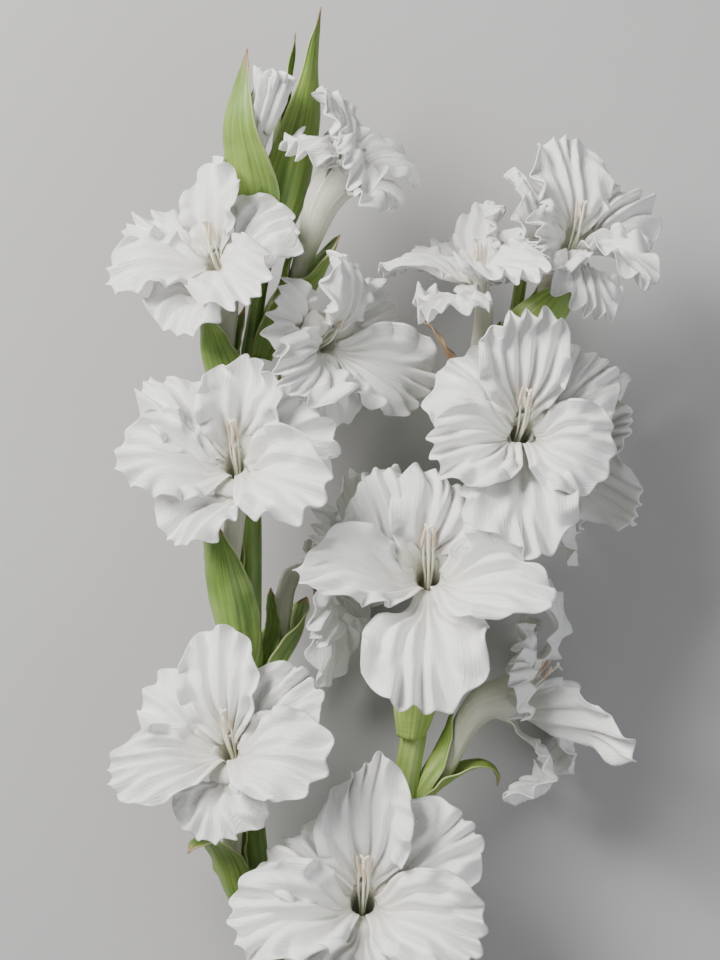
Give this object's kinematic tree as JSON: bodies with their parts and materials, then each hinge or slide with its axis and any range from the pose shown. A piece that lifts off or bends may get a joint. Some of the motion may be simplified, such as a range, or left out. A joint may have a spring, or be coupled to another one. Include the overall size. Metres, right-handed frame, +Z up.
{
  "type": "cut gladioli",
  "caption": "Cut gladiolus stems lying side by side, with ruffled trumpet-shaped white florets, green bracts, a bud and bare lower stalks.",
  "frame": {"origin": "on the surface that the bunch lies on, under the middle of its box", "axes": "+Z up from that surface, +Y along the stems from the cut ends towards the tips, +X across the bunch to the right as seen from above with the tips away"},
  "size_m": [0.258, 0.766, 0.1364],
  "materials": {
    "petal": "soft thin white petal, faintly translucent, cream and pale green towards the throat",
    "stamen": "cream filaments and style, pinkish beige anthers",
    "bract": "satin green leaf with fine lengthwise veins and dry pale edges",
    "stem": "satin green stem with fine lengthwise ribs"
  },
  "bodies": {
    "root": {"left_stem": "stem", "right_stem": "stem", "left_floret_1_perianth": "petal", "left_floret_1_stamens_and_style": "stamen", "left_floret_1_outer_bract": "bract", "left_floret_1_inner_bract": "bract", "left_floret_2_perianth": "petal", "left_floret_2_stamens_and_style": "stamen", "left_floret_2_outer_bract": "bract", "left_floret_2_inner_bract": "bract", "left_floret_3_perianth": "petal", "left_floret_3_stamens_and_style": "stamen", "left_floret_3_outer_bract": "bract", "left_floret_3_inner_bract": "bract", "left_floret_4_perianth": "petal", "left_floret_4_stamens_and_style": "stamen", "left_floret_4_outer_bract": "bract", "left_floret_4_inner_bract": "bract", "left_floret_5_perianth": "petal", "left_floret_5_stamens_and_style": "stamen", "left_floret_5_outer_bract": "bract", "left_floret_5_inner_bract": "bract", "left_floret_6_perianth": "petal", "left_floret_6_stamens_and_style": "stamen", "left_floret_6_outer_bract": "bract", "left_floret_6_inner_bract": "bract", "right_floret_1_perianth": "petal", "right_floret_1_stamens_and_style": "stamen", "right_floret_1_outer_bract": "bract", "right_floret_1_inner_bract": "bract", "right_floret_2_perianth": "petal", "right_floret_2_stamens_and_style": "stamen", "right_floret_2_outer_bract": "bract", "right_floret_2_inner_bract": "bract", "right_floret_3_perianth": "petal", "right_floret_3_stamens_and_style": "stamen", "right_floret_3_outer_bract": "bract", "right_floret_3_inner_bract": "bract", "right_floret_4_perianth": "petal", "right_floret_4_stamens_and_style": "stamen", "right_floret_4_outer_bract": "bract", "right_floret_4_inner_bract": "bract", "right_floret_5_perianth": "petal", "right_floret_5_stamens_and_style": "stamen", "right_floret_5_outer_bract": "bract", "right_floret_5_inner_bract": "bract", "right_floret_6_perianth": "petal", "right_floret_6_stamens_and_style": "stamen", "right_floret_6_outer_bract": "bract", "right_floret_6_inner_bract": "bract", "right_floret_7_perianth": "petal", "right_floret_7_stamens_and_style": "stamen", "right_floret_7_outer_bract": "bract", "right_floret_7_inner_bract": "bract", "left_bud_petals": "petal", "left_bud_outer_bract": "bract", "left_bud_inner_bract": "bract", "left_tip_outer_bract": "bract", "left_tip_inner_bract": "bract"}
  },
  "joints": []
}
